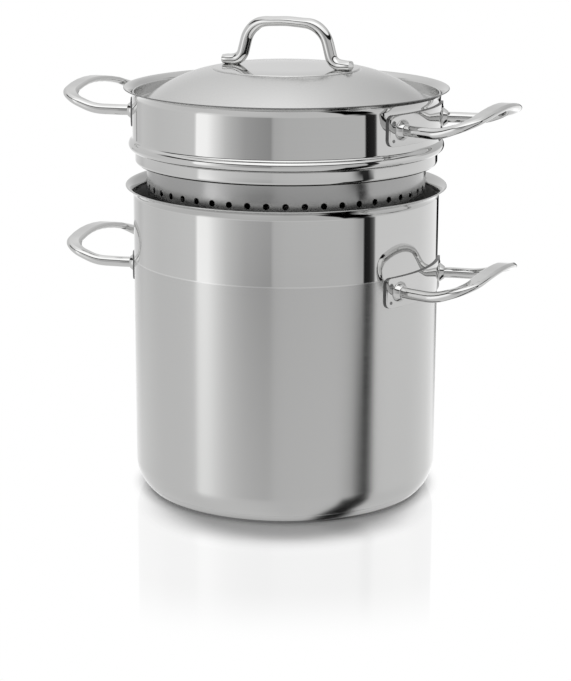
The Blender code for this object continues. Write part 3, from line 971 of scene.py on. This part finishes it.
# The studio's brightness, by compass angle in degrees from the camera to its right: at eye level, low, and
# deep down. Between -70 and -10 is a strip light that fades to the right, and from 60 to 69 a black flag.
eye_levels = [
    (-180, 1.0), (-168, 0.95), (-160, 0.78), (-150, 0.74), (-142, 0.67), (-134, 0.76), (-110, 0.73),
    (-90, 0.76), (-70.6, 0.80), (-69.4, 1.37), (-60, 1.34), (-57, 1.22), (-54, 1.08), (-50, 0.93),
    (-45, 0.74), (-40, 0.63), (-35, 0.55), (-30, 0.47), (-20, 0.41), (-10.4, 0.37), (-9.6, 0.56), (0, 0.61),
    (20, 0.63), (59.2, 0.64), (60.4, 0.01), (68.8, 0.03), (69.8, 0.86), (120, 0.88), (140, 0.98),
    (150, 1.03), (180, 1.0),
]
low_levels = [
    (-180, 1.2), (-165, 1.05), (-150, 0.92), (-130, 0.84), (-110, 0.78), (-90, 0.78), (-72, 0.80),
    (-69.5, 1.14), (-62, 1.12), (-57, 1.02), (-50, 0.89), (-45, 0.83), (-40, 0.78), (-30, 0.71),
    (-16, 0.66), (-11, 0.66), (-9, 0.70), (0, 0.71), (40, 0.73), (47, 0.70), (51, 0.60), (54, 0.38),
    (57, 0.12), (59, 0.03), (65, 0.03), (67, 0.25), (70, 0.62), (72, 0.80), (110, 0.80), (140, 0.92),
    (155, 1.1), (170, 1.3),
]
deep_levels = [
    (-180, 0.78), (-90, 0.76), (-69, 0.78), (-40, 0.76), (0, 0.70), (40, 0.72), (60, 0.74), (180, 0.78),
]

# Heights in degrees between which one part of the studio turns into the next, and how black its edge is
eye_to_low = (-11.5, -18.0)
low_to_deep = (-22.0, -34.0)
black_edge = (22.0, 24.0)
black_edge_level = 0.02
ceiling_in_front = (36.0, 38.0)
ceiling_behind = (-4.0, 2.0)

# The ceiling: its heights and levels, how much darker it is to the right, and brighter in front
ceiling_heights = (22.0, 76.0)
ceiling_levels = (0.77, 1.14)
ceiling_right = (0.0, 0.32)
ceiling_right_loss = 0.17
ceiling_front = (0.05, 0.3)
ceiling_front_gain = 0.5
ceiling_back = (-0.2, -0.5)

# Two dark lines, each with its compass angles and heights: behind at the right, and a fainter one at the left
back_line = ((157.5, 172.0), (-24.0, 30.0))
left_line = ((-150.0, -147.0), (-9.4, -5.0))
left_line_share = 0.5
line_soft_sides = 0.5
line_soft_ends = 0.4

# The black flag's foot: where its inner and outer sides run on a floor one unit under the object, as steps
# aside for each step behind, near ahead and far ahead, and where they turn from light to black
foot_least_drop = 0.1
foot_far = 0.3
foot_inner_slopes = (0.22, 0.6, 0.34)
foot_outer_slopes = (0.5, 2.02)
foot_inner_edge = (0.17, 0.25)
foot_outer_edge = (0.5, 0.62)

# Light on what isn't mirrored, and the overhead lamp
fill_level = 0.3
lamp_size = (0.8, 0.48)
lamp_energy = 110.0
lamp_behind = 0.32
lamp_height = 4.0

# Floor: the shadow in front, the contact shadow round the base, and the faint mirror image, in metres
floor_reach = 30.0
shadow_ahead = 0.057
shadow_fade = (0.072, 0.120)
contact_fade = (0.106, 0.126)
image_fade = (0.24, 0.345)
image_share = 0.15

white = (1.0, 1.0, 1.0, 1.0)


def blend(tree, first, other, share):
    """first where the share is 0 and other where it is 1."""
    return plus(tree, times(tree, minus(tree, 1.0, share), first), times(tree, share, other))


def by_degrees(tree, angle, start, end, at_start=0.0, at_end=1.0, smooth=False):
    """A level that goes from one value to another between two angles in degrees."""
    return map_range(tree, angle, math.radians(start), math.radians(end), at_start, at_end, smooth)


def band(tree, angle, low, high, soft):
    """1 between two angles in degrees and 0 outside them."""
    rise = by_degrees(tree, angle, low - soft, low + soft)
    fall = by_degrees(tree, angle, high - soft, high + soft, 1.0, 0.0)
    return times(tree, rise, fall)


def dark_line(tree, compass, height, line):
    """1 inside a line's compass angles and heights, and 0 outside them."""
    sides, ends = line
    across = band(tree, compass, *sides, line_soft_sides)
    return times(tree, across, band(tree, height, *ends, line_soft_ends))


def wall_light(tree, share, levels):
    """The brightness round the room, from pairs of compass angle in degrees and level."""
    ramp = tree.nodes.new("ShaderNodeValToRGB")
    ramp.color_ramp.interpolation = "LINEAR"
    stops = ramp.color_ramp.elements
    stops.remove(stops[-1])
    for i, (angle, level) in enumerate(levels):
        place = (angle + 180.0) / 360.0
        stop = stops[0] if i == 0 else stops.new(place)
        stop.position = place
        stop.color = (level, level, level, 1.0)
    tree.links.new(share, ramp.inputs[0])
    return ramp.outputs[0]


def flag_foot(tree, ahead, aside, up):
    """The black flag's foot, which sweeps under the pot and shows as a horn on its lower edge."""
    below = math_node(tree, "MAXIMUM", times(tree, up, -1.0), foot_least_drop)
    ahead = math_node(tree, "DIVIDE", ahead, below)
    aside = math_node(tree, "DIVIDE", aside, below)
    steps = (math_node(tree, "MINIMUM", ahead, 0.0), math_node(tree, "MAXIMUM", ahead, 0.0),
             math_node(tree, "MAXIMUM", minus(tree, ahead, foot_far), 0.0))
    inner = 0.0
    for step, slope in zip(steps, foot_inner_slopes):
        inner = plus(tree, inner, times(tree, step, slope))
    outer = 0.0
    for step, slope in zip(steps, foot_outer_slopes):
        outer = plus(tree, outer, times(tree, step, slope))
    return times(tree, map_range(tree, minus(tree, aside, inner), *foot_inner_edge, 0.0, 1.0),
                 map_range(tree, minus(tree, aside, outer), *foot_outer_edge, 1.0, 0.0))


def studio_room(tree, ahead, aside, up):
    """The brightness in a direction: walls with a strip light and black flags, a black edge and a ceiling."""
    compass = math_node(tree, "ARCTAN2", aside, ahead)
    height = math_node(tree, "ARCSINE", up)
    share = map_range(tree, compass, -PI, PI, 0.0, 1.0)
    lines = plus(tree, dark_line(tree, compass, height, back_line),
                 times(tree, dark_line(tree, compass, height, left_line), left_line_share))
    eye = times(tree, wall_light(tree, share, eye_levels), minus(tree, 1.0, lines))
    foot = flag_foot(tree, ahead, aside, up)
    deep = times(tree, wall_light(tree, share, deep_levels), minus(tree, 1.0, foot))
    walls = blend(tree, eye, wall_light(tree, share, low_levels), by_degrees(tree, height, *eye_to_low))
    walls = blend(tree, walls, deep, by_degrees(tree, height, *low_to_deep))
    ceiling = minus(tree, by_degrees(tree, height, *ceiling_heights, *ceiling_levels),
                    map_range(tree, aside, *ceiling_right, 0.0, ceiling_right_loss))
    ceiling = plus(tree, ceiling, map_range(tree, ahead, *ceiling_front, 0.0, ceiling_front_gain, True))
    rise = blend(tree, by_degrees(tree, height, *ceiling_in_front, smooth=True),
                 by_degrees(tree, height, *ceiling_behind, smooth=True),
                 map_range(tree, ahead, *ceiling_back, 0.0, 1.0, True))
    edge = by_degrees(tree, height, *black_edge, 1.0, black_edge_level, True)
    return blend(tree, times(tree, walls, edge), ceiling, rise)


def background(tree, strength):
    """A white Background shader. Its strength is a socket or a number."""
    made = tree.nodes.new("ShaderNodeBackground")
    made.inputs["Color"].default_value = white
    if isinstance(strength, float):
        made.inputs["Strength"].default_value = strength
    else:
        tree.links.new(strength, made.inputs["Strength"])
    return made.outputs[0]


def mix_shaders(tree, share, first, other):
    """The first shader where the share is 0 and the other where it is 1."""
    made = tree.nodes.new("ShaderNodeMixShader")
    for socket, value in zip(made.inputs, (share, first, other)):
        tree.links.new(value, socket)
    return made.outputs[0]


def build_studio():
    """A white background, an even fill for the floor, and a room that only the steel mirrors."""
    world = bpy.data.worlds.new("studio")
    world.use_nodes = True
    bpy.context.scene.world = world
    tree = world.node_tree
    tree.nodes.clear()
    direction = tree.nodes.new("ShaderNodeTexCoord").outputs["Generated"]
    ahead = vector_value(tree, "DOT_PRODUCT", direction, toward_camera)
    aside = vector_value(tree, "DOT_PRODUCT", direction, to_right)
    up = vector_value(tree, "DOT_PRODUCT", direction, Vector((0.0, 0.0, 1.0)))
    ray = tree.nodes.new("ShaderNodeLightPath").outputs
    room = background(tree, studio_room(tree, ahead, aside, up))
    lit = mix_shaders(tree, ray["Is Glossy Ray"], background(tree, fill_level), room)
    # The camera, and the floor's own sharp mirror image, see plain white
    plain = math_node(tree, "MAXIMUM", ray["Is Camera Ray"], ray["Is Singular Ray"])
    out = tree.nodes.new("ShaderNodeOutputWorld")
    tree.links.new(mix_shaders(tree, plain, lit, background(tree, 1.0)), out.inputs[0])


def build_lamp():
    """A soft lamp overhead, a little behind the object, that throws its shadow forward on the floor."""
    data = bpy.data.lights.new("overhead", "AREA")
    data.shape = "RECTANGLE"
    data.size, data.size_y = lamp_size
    data.energy = lamp_energy
    lamp = bpy.data.objects.new("overhead", data)
    bpy.context.scene.collection.objects.link(lamp)
    lamp.location = -lamp_behind * toward_camera + Vector((0.0, 0.0, lamp_height))
    lamp.rotation_euler = (0.0, 0.0, math.atan2(to_right.y, to_right.x))
    lamp.visible_glossy = False


def build_floor():
    """A white floor that keeps the shadow, with a faint mirror image of the pot that fades forward."""
    mesh = bpy.data.meshes.new("floor")
    corners = [(x * floor_reach, y * floor_reach, 0.0) for x, y in ((-1, -1), (1, -1), (1, 1), (-1, 1))]
    mesh.from_pydata(corners, [], [(0, 1, 2, 3)])
    floor = bpy.data.objects.new("floor", mesh)
    bpy.context.scene.collection.objects.link(floor)
    made = bpy.data.materials.new("floor")
    made.use_nodes = True
    tree = made.node_tree
    tree.nodes.clear()
    place = tree.nodes.new("ShaderNodeTexCoord").outputs["Object"]
    plain = tree.nodes.new("ShaderNodeBsdfDiffuse")
    plain.inputs["Color"].default_value = white
    clear_white = tree.nodes.new("ShaderNodeEmission")
    clear_white.inputs["Strength"].default_value = 1.0
    gloss = tree.nodes.new("ShaderNodeBsdfGlossy")
    gloss.inputs["Color"].default_value = white
    gloss.inputs["Roughness"].default_value = 0.0
    # Past the shadow in front and the contact shadow round the base, the camera sees plain white
    ahead = vector_value(tree, "DISTANCE", place, shadow_ahead * toward_camera)
    round_base = vector_value(tree, "DISTANCE", place, Vector((0.0, 0.0, 0.0)))
    clear = times(tree, map_range(tree, ahead, *shadow_fade, 0.0, 1.0, True),
                  map_range(tree, round_base, *contact_fade, 0.0, 1.0, True))
    clear = times(tree, clear, tree.nodes.new("ShaderNodeLightPath").outputs["Is Camera Ray"])
    shaded = mix_shaders(tree, clear, plain.outputs[0], clear_white.outputs[0])
    image = map_range(tree, round_base, *image_fade, image_share, 0.0, True)
    out = tree.nodes.new("ShaderNodeOutputMaterial")
    tree.links.new(mix_shaders(tree, image, shaded, gloss.outputs[0]), out.inputs[0])
    mesh.materials.append(made)
    floor.visible_glossy = False


build_studio()
build_lamp()
build_floor()
bpy.context.scene.view_settings.view_transform = "Standard"
